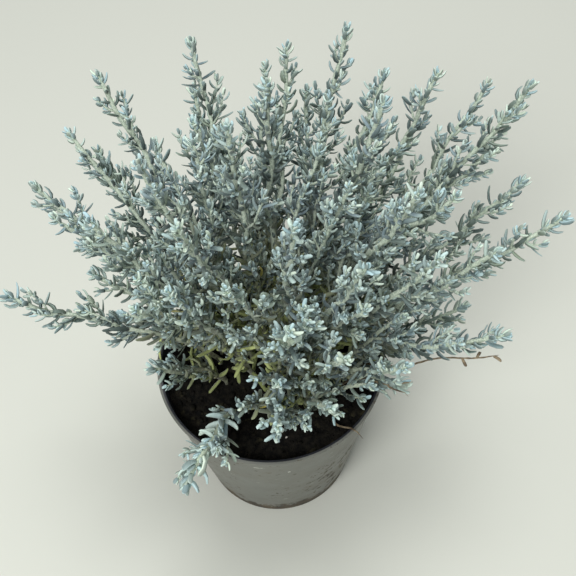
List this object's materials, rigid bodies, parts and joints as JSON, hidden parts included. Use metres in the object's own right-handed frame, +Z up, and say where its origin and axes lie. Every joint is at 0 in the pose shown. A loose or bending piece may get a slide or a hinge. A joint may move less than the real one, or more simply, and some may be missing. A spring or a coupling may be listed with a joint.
{
  "type": "potted curry plant",
  "caption": "Dwarf curry plant: a dome of silver-felted leafy stems standing in dark peat in a thin round nursery pot.",
  "frame": {"origin": "centre of the flat underside of the pot", "axes": "+Z up along the pot's axis, -Y towards the viewer of the picture, +X to the viewer's right"},
  "size_m": [0.2435, 0.1858, 0.2314],
  "materials": {
    "pot": "satin black moulded plastic with dried dirt",
    "soil": "damp crumbly dark peat",
    "foliage": "silver felted leaves and stems, matt with a soft sheen"
  },
  "bodies": {
    "root": {"pot": "pot", "soil": "soil", "leafy_stem_01": "foliage", "leafy_stem_02": "foliage", "leafy_stem_03": "foliage", "leafy_stem_04": "foliage", "leafy_stem_05": "foliage", "leafy_stem_06": "foliage", "leafy_stem_07": "foliage", "leafy_stem_08": "foliage", "leafy_stem_09": "foliage", "leafy_stem_10": "foliage", "leafy_stem_11": "foliage", "leafy_stem_12": "foliage", "leafy_stem_13": "foliage", "leafy_stem_14": "foliage", "leafy_stem_15": "foliage", "leafy_stem_16": "foliage", "leafy_stem_17": "foliage", "leafy_stem_18": "foliage", "leafy_stem_19": "foliage", "leafy_stem_20": "foliage", "leafy_stem_21": "foliage", "leafy_stem_22": "foliage", "leafy_stem_23": "foliage", "leafy_stem_24": "foliage", "leafy_stem_25": "foliage", "leafy_stem_26": "foliage", "leafy_stem_27": "foliage", "leafy_stem_28": "foliage", "leafy_stem_29": "foliage", "leafy_stem_30": "foliage", "leafy_stem_31": "foliage", "leafy_stem_32": "foliage", "leafy_stem_33": "foliage", "leafy_stem_34": "foliage", "leafy_stem_35": "foliage", "leafy_stem_36": "foliage", "leafy_stem_37": "foliage"}
  },
  "joints": []
}
